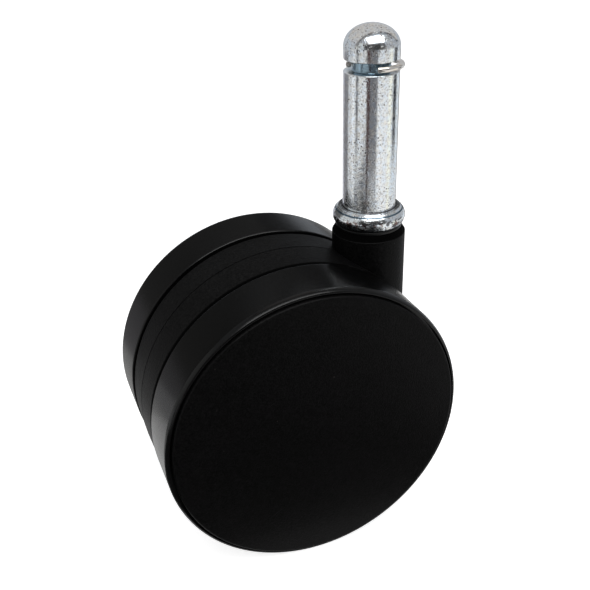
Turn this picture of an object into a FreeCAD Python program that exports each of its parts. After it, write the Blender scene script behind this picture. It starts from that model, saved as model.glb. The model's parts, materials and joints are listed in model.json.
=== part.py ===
import FreeCAD, Part
import math
import os

# Twin-wheel swivel caster with a grip-ring stem. Millimetres.
# The stem axis is Z and the top of the stem's collar is z = 0. The wheels turn about Y and trail
# towards -X. "left" is +Y and "right" is -Y.

V = FreeCAD.Vector
ORIGIN = V(0, 0, 0)
AXIS_Y = V(0, 1, 0)
AXIS_Z = V(0, 0, 1)
SIDES = {"left": 1, "right": -1}

# Whole caster
wheel_radius = 31.75
wheel_width = 12.7
load_height = 70.0
trail = 20.6
wheel_gap = 0.8

# Stem above the collar, and its collar
shank_radius = 5.556
stem_length = 36.8
dome_height = 4.2
grip_groove_low = 27.9
grip_groove_width = 2.2
grip_groove_root = 3.8
groove_edge_break = 0.15
collar_height = 3.6
collar_seat_width = 0.85
collar_land_width = 0.55
collar_land_drop = 0.5
collar_bulge = 0.65
collar_bottom_tuck = 0.45

# Grip ring: a split spring-steel ring that sits to one side in its groove
grip_wire_radius = 0.6
grip_ring_inset = 0.05
grip_rest_angle = -26.0
grip_ring_bore = 4.55
grip_gap_start = 160.0
grip_gap_end = 249.0

# Spindle below the collar, its bushes, clip and thrust disc
spindle_radius = 5.0
swivel_clearance = 0.05
bush_wall = 1.2
press_gap = 0.02
collar_clearance = 0.15
collar_side_air = 0.8
neck_washer_thickness = 0.65
upper_bush_length = 10.4
lower_bush_length = 9.4
clip_thickness = 1.0
clip_end_gap = 0.15
clip_seat_depth = 0.65
clip_bore_gap = 0.15
clip_opening = 60.0
spindle_tip_length = 2.5
spindle_tip_inset = 2.0
thrust_disc_thickness = 1.5

# Housing: neck, socket and hood in one moulding
neck_wall = 1.48
neck_chamfer = 0.75
neck_chamfer_drop = 1.2
neck_edge_break = 0.15
socket_floor = 2.0
hood_cheek = 0.45
hood_set_in = 0.05
hood_draft = 1.2
hood_wall = 2.3
hood_edge_round = 0.8
hood_cut_drop = 18.0
web_thickness = 3.0
rib_thickness = 2.0
rib_setback = 0.6
rear_rib_angle = 122.0
axle_boss_wall = 3.5
parting_line_width = 0.24
parting_line_depth = 0.32

# Axle and what runs on it
axle_radius = 3.0
axle_clearance = 0.05
axle_groove_depth = 0.5
axle_end_length = 1.0
axle_end_chamfer = 0.4
axle_washer_thickness = 0.8
axle_washer_reach = 3.0
side_play = 0.1
axle_clip_thickness = 0.8
axle_clip_reach = 2.2
axle_clip_slot = 3.6
wheel_bush_wall = 1.0

# Wheel and its snap-in cap
hub_wall = 2.9
hub_proud = 0.2
web_wall = 2.2
rim_wall = 2.95
edge_round = 2.2
inner_edge_break = 0.4
wheel_rib_count = 8
wheel_rib_thickness = 1.8
wheel_rib_gap = 0.5
ring_rib_radius = 18.0
cap_margin = 1.25
cap_groove = 0.45
cap_thickness = 2.0
cap_edge_round = 0.5
cap_air = 0.8
lip_width = 0.2
spigot_wall = 1.4
spigot_height = 2.4
spigot_clearance = 0.1
post_count = 4
post_radius = 1.5
post_wall = 1.7
post_engagement = 1.8
post_hole_spare = 0.4

# Heights down the stem axis
axle_z = wheel_radius - load_height
collar_bottom = -collar_height
neck_washer_top = collar_bottom - collar_clearance
neck_top = neck_washer_top - neck_washer_thickness
upper_bush_end = neck_top - upper_bush_length
clip_top = upper_bush_end - clip_end_gap
clip_bottom = clip_top - clip_thickness
lower_bush_top = clip_bottom - clip_end_gap
lower_bush_end = lower_bush_top - lower_bush_length
spindle_end = lower_bush_end - spindle_tip_length
socket_depth = spindle_end - thrust_disc_thickness
socket_bottom = socket_depth - socket_floor

# Radii about the stem axis
running_bore = spindle_radius + swivel_clearance
bush_radius = running_bore + bush_wall
socket_bore = bush_radius + press_gap
neck_radius = socket_bore + neck_wall
neck_washer_radius = neck_radius - neck_chamfer
collar_seat_radius = shank_radius + collar_seat_width
collar_edge_radius = collar_seat_radius + collar_land_width
collar_radius = collar_edge_radius + collar_bulge
clip_groove_root = spindle_radius - clip_seat_depth

# Stations out along the axle, on either side
hood_half = neck_radius + hood_cheek
wheel_near = hood_half + wheel_gap
hub_near = wheel_near - hub_proud
washer_far = hub_near - side_play
boss_far = washer_far - axle_washer_thickness
web_far = wheel_near + web_wall
cap_face = wheel_near + wheel_width
cap_seat = cap_face - cap_thickness
axle_end = cap_seat - cap_air
axle_clip_far = axle_end - axle_end_length
axle_clip_near = axle_clip_far - axle_clip_thickness
hub_far = axle_clip_near - side_play
rib_far = cap_seat - spigot_height - wheel_rib_gap

# Radii about the axle
axle_groove_root = axle_radius - axle_groove_depth
axle_running_bore = axle_radius + axle_clearance
wheel_bush_radius = axle_running_bore + wheel_bush_wall
hub_bore = wheel_bush_radius + press_gap
hub_radius = hub_bore + hub_wall
axle_boss_radius = axle_radius + axle_boss_wall
rim_inner = wheel_radius - rim_wall
cap_radius = wheel_radius - cap_margin
cap_recess = cap_radius + cap_groove
hood_radius = wheel_radius - hood_set_in
hood_edge_radius = hood_radius - hood_half * math.tan(math.radians(hood_draft))
hood_inner = hood_edge_radius - hood_wall
hood_base = axle_z - hood_cut_drop


def turned(points, axis, degrees=360):
    """Solid of revolution about an axis through the origin, from a closed outline of points."""
    outline = Part.makePolygon(points + [points[0]])
    return Part.Face(outline).revolve(ORIGIN, axis, degrees)


def turned_edges(edges, axis):
    """Solid of revolution from a closed outline of edges."""
    return Part.Face(Part.Wire(edges)).revolve(ORIGIN, axis, 360)


def line(start, end):
    return Part.LineSegment(start, end).toShape()


def chain(points):
    """Straight edges from each point to the next."""
    return [line(start, end) for start, end in zip(points, points[1:])]


def arc(start, middle, end):
    return Part.Arc(start, middle, end).toShape()


def disc_z(radius, top, bottom):
    """Round bar on the stem axis between two heights."""
    return Part.makeCylinder(radius, top - bottom, V(0, 0, bottom), AXIS_Z)


def tube_z(outer, inner, top, bottom):
    return disc_z(outer, top, bottom).cut(disc_z(inner, top, bottom))


def disc_y(radius, start, end):
    """Round bar on the Y axis between two signed stations."""
    low = min(start, end)
    return Part.makeCylinder(radius, abs(end - start), V(0, low, 0), AXIS_Y)


def tube_y(outer, inner, start, end):
    return disc_y(outer, start, end).cut(disc_y(inner, start, end))


def on_axle(shape):
    """Move a shape built on the Y axis out to the axle."""
    return shape.translated(V(-trail, 0, axle_z))


def bar(start, end, thickness, width):
    """Flat rib in the XZ plane, centred on the line from start to end and on y = 0."""
    run = end - start
    rib = Part.makeBox(run.Length, width, thickness, V(0, -width / 2, -thickness / 2))
    angle = math.degrees(math.atan2(run.z, run.x))
    rib.rotate(ORIGIN, AXIS_Y, -angle)
    return rib.translated(start)


def polar(radius, degrees):
    """Point in the XZ plane at an angle up from +X."""
    turn = math.radians(degrees)
    return V(radius * math.cos(turn), 0, radius * math.sin(turn))


def fused(shapes):
    return shapes[0].multiFuse(shapes[1:]).removeSplitter()


def make_stem():
    """Turned stem: domed shank, grip groove, collar and spindle in one piece of steel."""
    groove_high = grip_groove_low + grip_groove_width
    shoulder = stem_length - dome_height
    curl = 0.5523
    dome = Part.BezierCurve()
    dome.setPoles([
        V(shank_radius, 0, shoulder),
        V(shank_radius, 0, shoulder + curl * dome_height),
        V(curl * shank_radius, 0, stem_length),
        V(0, 0, stem_length),
    ])
    shank = [
        V(collar_edge_radius, 0, -collar_land_drop),
        V(collar_seat_radius, 0, 0),
        V(shank_radius, 0, 0),
        V(shank_radius, 0, grip_groove_low - groove_edge_break),
        V(shank_radius - groove_edge_break, 0, grip_groove_low),
        V(grip_groove_root, 0, grip_groove_low),
        V(grip_groove_root, 0, groove_high),
        V(shank_radius - groove_edge_break, 0, groove_high),
        V(shank_radius, 0, groove_high + groove_edge_break),
        V(shank_radius, 0, shoulder),
    ]
    collar_foot = V(collar_radius - collar_bottom_tuck, 0, collar_bottom)
    collar_side = V(collar_radius, 0, (collar_bottom - collar_land_drop) / 2)
    spindle = [
        V(0, 0, stem_length),
        V(0, 0, spindle_end),
        V(spindle_radius - spindle_tip_inset, 0, spindle_end),
        V(spindle_radius, 0, spindle_end + spindle_tip_inset),
        V(spindle_radius, 0, clip_bottom),
        V(clip_groove_root, 0, clip_bottom),
        V(clip_groove_root, 0, clip_top),
        V(spindle_radius, 0, clip_top),
        V(spindle_radius, 0, collar_bottom),
        collar_foot,
    ]
    edges = chain(shank) + [dome.toShape()] + chain(spindle)
    edges.append(arc(collar_foot, collar_side, shank[0]))
    return turned_edges(edges, AXIS_Z)


def make_grip_ring():
    """Split round-wire ring, pushed over to one side of its groove."""
    wire_centre = grip_ring_bore + grip_wire_radius
    section = Part.Circle(ORIGIN, AXIS_Y, grip_wire_radius).toShape()
    face = Part.Face(Part.Wire(section))
    face.translate(V(wire_centre, 0, 0))
    ring = face.revolve(ORIGIN, AXIS_Z, 360 - (grip_gap_end - grip_gap_start))
    ring.rotate(ORIGIN, AXIS_Z, grip_gap_end)
    shift = grip_ring_bore - grip_groove_root - grip_ring_inset
    lean = math.radians(grip_rest_angle)
    height = grip_groove_low + grip_groove_width / 2
    return ring.translated(V(shift * math.cos(lean), shift * math.sin(lean), height))


def make_neck_washer():
    return tube_z(neck_washer_radius, running_bore, neck_washer_top, neck_top)


def make_stem_clip():
    """Open ring in the spindle's lower groove, held between the two bushes."""
    ring = tube_z(socket_bore - clip_bore_gap, clip_groove_root + press_gap, clip_top, clip_bottom)
    reach = 2 * socket_bore
    half = math.radians(clip_opening / 2)
    corners = [
        V(0, 0, clip_bottom),
        V(-reach * math.cos(half), -reach * math.sin(half), clip_bottom),
        V(-reach * math.cos(half), reach * math.sin(half), clip_bottom),
    ]
    wedge = Part.Face(Part.makePolygon(corners + [corners[0]])).extrude(V(0, 0, clip_thickness))
    return ring.cut(wedge)


def make_hood_shell():
    """Drum between the wheels, highest at its middle plane, open at the sides, clear of the collar."""
    near_flat = hood_edge_radius - hood_edge_round
    side_flat = hood_half - hood_edge_round
    bend = hood_edge_round * math.sqrt(0.5)
    edges = chain([V(hood_edge_radius, -side_flat, 0), V(hood_radius, 0, 0), V(hood_edge_radius, side_flat, 0)])
    edges.append(arc(
        V(hood_edge_radius, side_flat, 0),
        V(near_flat + bend, side_flat + bend, 0),
        V(near_flat, hood_half, 0),
    ))
    edges += chain([
        V(near_flat, hood_half, 0), V(0, hood_half, 0), V(0, -hood_half, 0), V(near_flat, -hood_half, 0),
    ])
    edges.append(arc(
        V(near_flat, -hood_half, 0),
        V(near_flat + bend, -side_flat - bend, 0),
        V(hood_edge_radius, -side_flat, 0),
    ))
    drum = turned_edges(edges, AXIS_Y)
    for side in SIDES.values():
        drum = drum.cut(disc_y(hood_inner, side * web_thickness / 2, side * 2 * hood_half))
    relief = disc_z(collar_radius + collar_side_air, neck_top + 2 * wheel_radius, neck_top)
    return on_axle(drum).cut(relief)


def make_neck():
    """Neck and blind socket: a round post from the chamfered neck top to the socket floor."""
    chamfer_end = neck_top - neck_chamfer_drop
    outline = [
        V(0, 0, neck_top),
        V(neck_radius - neck_chamfer, 0, neck_top),
        V(neck_radius - neck_edge_break, 0, chamfer_end),
        V(neck_radius, 0, chamfer_end - neck_edge_break),
        V(neck_radius, 0, socket_bottom),
        V(0, 0, socket_bottom),
    ]
    return turned(outline, AXIS_Z)


def make_hood_ribs():
    """Ribs from the axle boss to the socket and to the hood's rear."""
    width = 2 * (hood_half - rib_setback)
    axle = V(-trail, 0, axle_z)
    tie = bar(axle, V(0, 0, (lower_bush_end + socket_bottom) / 2), rib_thickness, width)
    middle_of_wall = hood_inner + hood_wall / 2
    rear = bar(axle, axle + polar(middle_of_wall, rear_rib_angle), rib_thickness, width)
    return [tie, rear]


def make_parting_line():
    """Fine V groove round the hood and down the back of the neck, where the mould halves meet."""
    half = parting_line_width / 2
    deep = hood_radius - parting_line_depth
    proud = hood_radius + parting_line_depth
    around = turned([V(deep, 0, 0), V(proud, half * 2, 0), V(proud, -half * 2, 0)], AXIS_Y)
    corners = [
        V(-neck_radius + parting_line_depth, 0, neck_top - neck_chamfer_drop),
        V(-neck_radius - parting_line_depth, half * 2, neck_top - neck_chamfer_drop),
        V(-neck_radius - parting_line_depth, -half * 2, neck_top - neck_chamfer_drop),
    ]
    face = Part.Face(Part.makePolygon(corners + [corners[0]]))
    drop = neck_top - neck_chamfer_drop - axle_z - math.sqrt(hood_radius**2 - (trail - neck_radius) ** 2)
    return [on_axle(around), face.extrude(V(0, 0, -drop))]


def make_housing():
    """Neck, socket, hood, web, axle boss and ribs as one moulding."""
    boss = on_axle(disc_y(axle_boss_radius, -boss_far, boss_far))
    body = fused([make_hood_shell(), make_neck(), boss] + make_hood_ribs())
    span = 4 * wheel_radius
    below = Part.makeBox(span, span, span, V(-trail - span / 2, -span / 2, hood_base - span))
    body = body.cut(below)
    body = body.cut(disc_z(socket_bore, neck_top + neck_wall, socket_depth))
    body = body.cut(on_axle(disc_y(axle_radius + press_gap, -2 * hood_half, 2 * hood_half)))
    for groove in make_parting_line():
        body = body.cut(groove)
    return body


def make_axle():
    """Steel pin, chamfered at both ends, with a groove for each retaining clip."""
    pin = disc_y(axle_radius, -axle_end, axle_end)
    pin = pin.makeChamfer(axle_end_chamfer, [e for e in pin.Edges if e.Curve.TypeId == "Part::GeomCircle"])
    for side in SIDES.values():
        groove = tube_y(2 * axle_radius, axle_groove_root, side * axle_clip_near, side * axle_clip_far)
        pin = pin.cut(groove)
    return on_axle(pin)


def make_axle_washer(side):
    outer = axle_radius + axle_washer_reach
    return on_axle(tube_y(outer, axle_running_bore, side * boss_far, side * washer_far))


def make_axle_clip(side):
    """Open-ended retaining clip, pushed into the axle's groove from the front."""
    outer = axle_radius + axle_clip_reach
    ring = tube_y(outer, axle_groove_root + press_gap, side * axle_clip_near, side * axle_clip_far)
    low = min(side * axle_clip_near, side * axle_clip_far)
    slot = Part.makeBox(2 * outer, axle_clip_thickness, axle_clip_slot, V(0, low, -axle_clip_slot / 2))
    return on_axle(ring.cut(slot))


def make_wheel_bush(side):
    return on_axle(tube_y(wheel_bush_radius, axle_running_bore, side * hub_near, side * hub_far))


def post_places():
    """Cap posts stand on the wheel's ring rib, evenly round it."""
    return [polar(ring_rib_radius, index * 360 / post_count) for index in range(post_count)]


def round_edge(radius, station, size, side, inner_radius):
    """Arc that rounds an outer corner, from the tread to a given radius on the same circle."""
    centre_radius = radius - size
    reach = math.acos((inner_radius - centre_radius) / size)
    points = []
    for share in (0, 0.5, 1):
        turn = share * reach
        across = centre_radius + size * math.cos(turn)
        out = station - size + size * math.sin(turn)
        points.append(V(across, side * out, 0))
    return points


def make_wheel(side):
    """One-piece wheel: tread rim, inner web, hub, radial ribs and a ring rib under the cap."""
    lip_radius = cap_recess + lip_width
    rounding = round_edge(wheel_radius, cap_face, edge_round, side, lip_radius)
    lip_station = rounding[-1].y
    inside = [
        rounding[-1],
        V(cap_recess, lip_station, 0),
        V(cap_recess, side * cap_seat, 0),
        V(rim_inner, side * cap_seat, 0),
        V(rim_inner, side * web_far, 0),
        V(hub_radius, side * web_far, 0),
        V(hub_radius, side * hub_far, 0),
        V(hub_bore, side * hub_far, 0),
        V(hub_bore, side * hub_near, 0),
        V(hub_radius, side * hub_near, 0),
        V(hub_radius, side * wheel_near, 0),
        V(wheel_radius - inner_edge_break, side * wheel_near, 0),
        V(wheel_radius, side * (wheel_near + inner_edge_break), 0),
        rounding[0],
    ]
    body = turned_edges([arc(*rounding)] + chain(inside), AXIS_Y)
    half_ring = wheel_rib_thickness / 2
    web_middle = side * (wheel_near + web_far) / 2
    stiffeners = [tube_y(ring_rib_radius + half_ring, ring_rib_radius - half_ring, web_middle, side * rib_far)]
    depth = abs(side * rib_far - web_middle)
    low = min(side * rib_far, web_middle)
    overlap = min(hub_wall, rim_wall) / 2
    for index in range(wheel_rib_count):
        start = hub_radius - overlap
        length = rim_inner + overlap - start
        rib = Part.makeBox(length, depth, wheel_rib_thickness, V(start, low, -wheel_rib_thickness / 2))
        rib.rotate(ORIGIN, AXIS_Y, -index * 360 / wheel_rib_count)
        stiffeners.append(rib)
    for place in post_places():
        boss = disc_y(post_radius + post_wall, web_middle, side * rib_far)
        stiffeners.append(boss.translated(place))
    wheel = fused([body] + stiffeners)
    hole_end = side * (rib_far - post_engagement - post_hole_spare)
    for place in post_places():
        hole = disc_y(post_radius + press_gap, hole_end, side * cap_seat)
        wheel = wheel.cut(hole.translated(place))
    return on_axle(wheel)


def make_wheel_cap(side):
    """Plain flat cap: round disc with a locating spigot and press-in posts behind it."""
    rounding = round_edge(cap_radius, cap_face, cap_edge_round, side, cap_radius - cap_edge_round)
    spigot_outer = rim_inner - spigot_clearance
    spigot_inner = spigot_outer - spigot_wall
    spigot_end = side * (cap_seat - spigot_height)
    inside = [
        rounding[-1],
        V(0, side * cap_face, 0),
        V(0, side * cap_seat, 0),
        V(spigot_inner, side * cap_seat, 0),
        V(spigot_inner, spigot_end, 0),
        V(spigot_outer, spigot_end, 0),
        V(spigot_outer, side * cap_seat, 0),
        V(cap_radius, side * cap_seat, 0),
        rounding[0],
    ]
    cap = turned_edges([arc(*rounding)] + chain(inside), AXIS_Y)
    post_end = side * (rib_far - post_engagement)
    cap_middle = side * (cap_seat + cap_thickness / 2)
    posts = [disc_y(post_radius, post_end, cap_middle).translated(place) for place in post_places()]
    return on_axle(fused([cap] + posts))


def build_nodes():
    nodes = {
        "stem": make_stem(),
        "grip_ring": make_grip_ring(),
        "stem_retaining_clip": make_stem_clip(),
        "neck_washer": make_neck_washer(),
        "upper_swivel_bush": tube_z(bush_radius, running_bore, neck_top, upper_bush_end),
        "lower_swivel_bush": tube_z(bush_radius, running_bore, lower_bush_top, lower_bush_end),
        "thrust_disc": disc_z(bush_radius, spindle_end, socket_depth),
        "housing": make_housing(),
        "axle": make_axle(),
    }
    for name, side in SIDES.items():
        nodes["axle_washer_" + name] = make_axle_washer(side)
        nodes["wheel_" + name] = make_wheel(side)
        nodes["wheel_bush_" + name] = make_wheel_bush(side)
        nodes["axle_clip_" + name] = make_axle_clip(side)
        nodes["wheel_cap_" + name] = make_wheel_cap(side)
    return nodes


os.makedirs("parts", exist_ok=True)
for node, shape in build_nodes().items():
    box = shape.BoundBox
    shape.exportStep("parts/" + node + ".step")
    print(f"{node}: {len(shape.Solids)} solid, valid {shape.isValid()}, {shape.Volume:.1f} mm3, "
          f"x {box.XMin:.2f}..{box.XMax:.2f}, y {box.YMin:.2f}..{box.YMax:.2f}, z {box.ZMin:.2f}..{box.ZMax:.2f}")
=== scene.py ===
import json
import math
import bmesh
import bpy
from mathutils import Matrix, Quaternion, Vector


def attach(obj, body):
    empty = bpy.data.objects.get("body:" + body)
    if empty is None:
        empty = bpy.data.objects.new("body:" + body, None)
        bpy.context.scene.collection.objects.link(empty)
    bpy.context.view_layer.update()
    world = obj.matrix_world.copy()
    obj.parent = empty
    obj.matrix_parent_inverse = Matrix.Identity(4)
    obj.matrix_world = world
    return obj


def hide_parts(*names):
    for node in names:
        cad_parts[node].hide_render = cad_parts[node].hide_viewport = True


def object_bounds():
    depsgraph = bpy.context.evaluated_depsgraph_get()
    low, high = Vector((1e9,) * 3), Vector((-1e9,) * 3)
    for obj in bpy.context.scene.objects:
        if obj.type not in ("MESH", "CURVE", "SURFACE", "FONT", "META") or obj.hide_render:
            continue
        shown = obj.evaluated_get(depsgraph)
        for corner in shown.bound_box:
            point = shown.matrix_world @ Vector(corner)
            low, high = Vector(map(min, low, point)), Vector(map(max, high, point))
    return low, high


# Twin-wheel swivel caster with a grip-ring stem. The stem stands on Z and the wheels turn about Y.
# The pieces' and the camera's sizes are in millimetres, the studio's and the scene's own in metres.
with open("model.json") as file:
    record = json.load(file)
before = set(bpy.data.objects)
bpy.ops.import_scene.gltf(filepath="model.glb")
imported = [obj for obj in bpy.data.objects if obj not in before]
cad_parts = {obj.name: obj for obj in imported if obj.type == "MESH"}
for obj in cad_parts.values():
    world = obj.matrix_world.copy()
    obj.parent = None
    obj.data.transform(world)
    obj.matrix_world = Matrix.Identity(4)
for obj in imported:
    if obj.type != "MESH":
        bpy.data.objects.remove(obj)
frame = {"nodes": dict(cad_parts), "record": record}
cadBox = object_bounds()
nodes = frame["nodes"]
scene = bpy.context.scene
mm = 0.001
print("frame loaded:", len(nodes), "CAD nodes")


# for every new piece: segments in a rounded corner, how near points weld, and the angle of a sharp edge
meshSpec = {"cornerSegments": 6, "weld": 0.001, "degenerate": 0.0001, "sharpAngle": 38, "normalWeight": 80}


# a wire outline in the XZ plane from (radius, height, rounding) stations, rounded at its corners
def drawOutline(bm, stations, closed=False):
    verts = [bm.verts.new((radius * mm, 0, height * mm)) for radius, height, rounding in stations]
    for first, second in zip(verts, verts[1:]):
        bm.edges.new((first, second))
    if closed:
        bm.edges.new((verts[-1], verts[0]))
    for vert, (radius, height, rounding) in zip(verts, stations):
        if rounding:
            bmesh.ops.bevel(bm, geom=[vert], offset=rounding * mm, offset_type="OFFSET",
                            segments=meshSpec["cornerSegments"], profile=0.5, affect="VERTICES", material=-1)


# an arc of the outline: swings a point about a centre, and squeezes its height for an oval
def drawArc(bm, start, centre, degrees, squeeze=1.0, steps=16):
    hub = Vector((centre[0], 0, centre[1])) * mm
    before = set(bm.verts)
    point = bm.verts.new((start[0] * mm, 0, start[1] * mm))
    bmesh.ops.spin(bm, geom=[point], cent=hub, axis=(0, -1, 0), angle=math.radians(degrees), steps=steps)
    swept = [vert for vert in bm.verts if vert not in before]
    bmesh.ops.scale(bm, verts=swept, vec=(1, 1, squeeze), space=Matrix.Translation(-hub))


def rotateVerts(bm, verts, degrees, axis):
    rotation = Matrix.Rotation(math.radians(degrees), 3, axis)
    bmesh.ops.rotate(bm, verts=verts, cent=(0, 0, 0), matrix=rotation)


def moveVerts(bm, verts, x, y, z):
    bmesh.ops.translate(bm, verts=verts, vec=(x * mm, y * mm, z * mm))


def spinAll(bm, degrees, steps, merge=False):
    bmesh.ops.spin(bm, geom=bm.verts[:] + bm.edges[:], cent=(0, 0, 0), axis=(0, 0, 1),
                   angle=math.radians(degrees), steps=steps, use_merge=merge)


# turns the outline into a round body about Z
def latheOutline(bm, steps):
    bmesh.ops.remove_doubles(bm, verts=bm.verts, dist=meshSpec["weld"] * mm)
    spinAll(bm, 360, steps, merge=True)
    bmesh.ops.remove_doubles(bm, verts=bm.verts, dist=meshSpec["weld"] * mm)
    bmesh.ops.dissolve_degenerate(bm, dist=meshSpec["degenerate"] * mm, edges=bm.edges)


def toObject(bm, name):
    mesh = bpy.data.meshes.new(name)
    bm.to_mesh(mesh)
    bm.free()
    piece = bpy.data.objects.new(name, mesh)
    scene.collection.objects.link(piece)
    return piece


# turns the bmesh into a finished piece that rides on its body and stands for its CAD node
def finishPiece(bm, name, body, node, slotName):
    bmesh.ops.recalc_face_normals(bm, faces=bm.faces)
    sharp = math.radians(meshSpec["sharpAngle"])
    for face in bm.faces:
        face.smooth = True
    for edge in bm.edges:
        edge.smooth = len(edge.link_faces) == 2 and edge.calc_face_angle(0) < sharp
    piece = toObject(bm, name)
    piece.data.materials.append(slotMaterials[slotName])
    evenNormals = piece.modifiers.new("evenNormals", "WEIGHTED_NORMAL")
    evenNormals.keep_sharp = True
    evenNormals.weight = meshSpec["normalWeight"]
    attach(piece, body)
    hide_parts(node)


def addNode(tree, kind, **settings):
    node = tree.nodes.new(kind)
    for key, value in settings.items():
        setattr(node, key, value)
    return node


# sets a node's inputs, by a link where the value is another node's socket
def feed(tree, node, values):
    for key, value in values.items():
        if isinstance(value, bpy.types.NodeSocket):
            tree.links.new(value, node.inputs[key])
        else:
            node.inputs[key].default_value = value
    return node


def maths(tree, operation, first, second=0.0, clamp=False):
    node = addNode(tree, "ShaderNodeMath", operation=operation, use_clamp=clamp)
    feed(tree, node, {0: first, 1: second})
    return node.outputs[0]


def product(tree, first, *others):
    for other in others:
        first = maths(tree, "MULTIPLY", first, other)
    return first


def remap(tree, value, low, high, toLow=0.0, toHigh=1.0):
    node = addNode(tree, "ShaderNodeMapRange", clamp=True)
    feed(tree, node, {"Value": value, "From Min": low, "From Max": high, "To Min": toLow, "To Max": toHigh})
    return node.outputs["Result"]


# a mark's soft edge: nothing at the first of two places along a length, full at the second
def fade(tree, length, places):
    return remap(tree, length, places[0] * mm, places[1] * mm)


def blendColour(tree, mask, first, second):
    node = addNode(tree, "ShaderNodeMix", data_type="RGBA")
    feed(tree, node, {"Factor": mask, "A": first, "B": second})
    return node.outputs["Result"]


# lays a colour over another where the mask is, up to a strength
def tint(tree, mask, strength, under, over):
    return blendColour(tree, product(tree, mask, strength), under, over)


def newGroup(name, inputs, outputs):
    group = bpy.data.node_groups.new(name, "ShaderNodeTree")
    for socketName, default in inputs.items():
        socket = group.interface.new_socket(name=socketName, in_out="INPUT", socket_type="NodeSocketFloat")
        socket.default_value = default
    for socketName in outputs:
        group.interface.new_socket(name=socketName, in_out="OUTPUT", socket_type="NodeSocketFloat")
    start = group.nodes.new("NodeGroupInput")
    end = group.nodes.new("NodeGroupOutput")
    return group, start, end


def useGroup(tree, group, values):
    return feed(tree, addNode(tree, "ShaderNodeGroup", node_tree=group), values).outputs


# empties the node tree of a material or a world, and links a shader to its output
def emptyTree(owner):
    owner.use_nodes = True
    owner.node_tree.nodes.clear()
    return owner.node_tree


def toSurface(tree, shader, outputKind="ShaderNodeOutputMaterial"):
    output = addNode(tree, outputKind)
    tree.links.new(shader.outputs[0], output.inputs["Surface"])


def newMaterial(name, constants):
    material = bpy.data.materials.new(name)
    tree = emptyTree(material)
    shader = feed(tree, addNode(tree, "ShaderNodeBsdfPrincipled"), constants)
    toSurface(tree, shader)
    return material, tree, shader


def objectCoords(tree, scale=(1, 1, 1)):
    coords = addNode(tree, "ShaderNodeTexCoord")
    mapping = addNode(tree, "ShaderNodeMapping", vector_type="POINT")
    feed(tree, mapping, {"Vector": coords.outputs["Object"], "Scale": scale})
    return mapping.outputs["Vector"]


def splitXYZ(tree, coords):
    place = feed(tree, addNode(tree, "ShaderNodeSeparateXYZ"), {"Vector": coords})
    return place.outputs["X"], place.outputs["Y"], place.outputs["Z"]


def noise(tree, coords, scale, detail=3.0, roughness=0.55):
    node = addNode(tree, "ShaderNodeTexNoise")
    feed(tree, node, {"Vector": coords, "Scale": scale, "Detail": detail, "Roughness": roughness})
    return node.outputs["Fac"]


def bumpOf(tree, height, depth):
    node = addNode(tree, "ShaderNodeBump")
    feed(tree, node, {"Height": height, "Distance": depth * mm, "Strength": 1.0})
    return node.outputs["Normal"]


# fine spark-eroded grain of a moulded surface: noise and soft cells in equal parts
grainSpec = {"part": 0.6, "cellScale": 1.3, "cellSmooth": 0.6, "maskRange": (0.4, 0.8)}


def makeGrainGroup():
    group, start, end = newGroup("mouldGrain", {"Scale": 3000.0}, ["Height", "Mask"])
    coords = objectCoords(group)
    scale = start.outputs["Scale"]
    broad = noise(group, coords, scale, 2.0, 0.6)
    cells = addNode(group, "ShaderNodeTexVoronoi", feature="SMOOTH_F1")
    feed(group, cells, {"Vector": coords, "Scale": product(group, scale, grainSpec["cellScale"]),
                        "Smoothness": grainSpec["cellSmooth"]})
    mixed = maths(group, "ADD", product(group, broad, grainSpec["part"]),
                  product(group, cells.outputs["Distance"], grainSpec["part"]))
    feed(group, end, {"Height": mixed, "Mask": remap(group, mixed, *grainSpec["maskRange"])})
    return group


# short random scratches, the more the lower Cover is
scratchSpec = {"turns": (0.35, 1.25, 2.3), "tilt": 0.6, "swing": 1.7, "edge": 0.03}


def makeScratchGroup():
    group, start, end = newGroup("scratches", {"Scale": 220.0, "Stretch": 14.0, "Cover": 0.72}, ["Mask"])
    coords = addNode(group, "ShaderNodeTexCoord").outputs["Object"]
    cover = start.outputs["Cover"]
    found = None
    for turn in scratchSpec["turns"]:
        mapping = addNode(group, "ShaderNodeMapping", vector_type="POINT")
        rotation = (turn, turn * scratchSpec["tilt"], turn * scratchSpec["swing"])
        feed(group, mapping, {"Vector": coords, "Rotation": rotation})
        stretch = addNode(group, "ShaderNodeCombineXYZ")
        feed(group, stretch, {"X": start.outputs["Stretch"], "Y": 1.0, "Z": 1.0})
        stretched = addNode(group, "ShaderNodeVectorMath", operation="MULTIPLY")
        feed(group, stretched, {0: mapping.outputs["Vector"], 1: stretch.outputs["Vector"]})
        lines = noise(group, stretched.outputs["Vector"], start.outputs["Scale"], 1.0, 0.4)
        mask = remap(group, lines, cover, maths(group, "ADD", cover, scratchSpec["edge"]))
        found = mask if found is None else maths(group, "MAXIMUM", found, mask)
    feed(group, end, {"Mask": found})
    return group


# small round pits or dust specks, Share of the cells filled
def makeSpeckGroup():
    group, start, end = newGroup("specks", {"Scale": 900.0, "Size": 0.25, "Share": 0.2}, ["Mask"])
    coords = addNode(group, "ShaderNodeTexCoord").outputs["Object"]
    cells = addNode(group, "ShaderNodeTexVoronoi", feature="F1")
    feed(group, cells, {"Vector": coords, "Scale": start.outputs["Scale"], "Randomness": 1.0})
    near = maths(group, "LESS_THAN", cells.outputs["Distance"], start.outputs["Size"])
    pick = addNode(group, "ShaderNodeSeparateColor")
    feed(group, pick, {"Color": cells.outputs["Color"]})
    chosen = maths(group, "LESS_THAN", pick.outputs["Red"], start.outputs["Share"])
    feed(group, end, {"Mask": product(group, near, chosen)})
    return group


grainGroup = makeGrainGroup()
scratchGroup = makeScratchGroup()
speckGroup = makeSpeckGroup()
print("shared surface effects ready")


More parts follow.
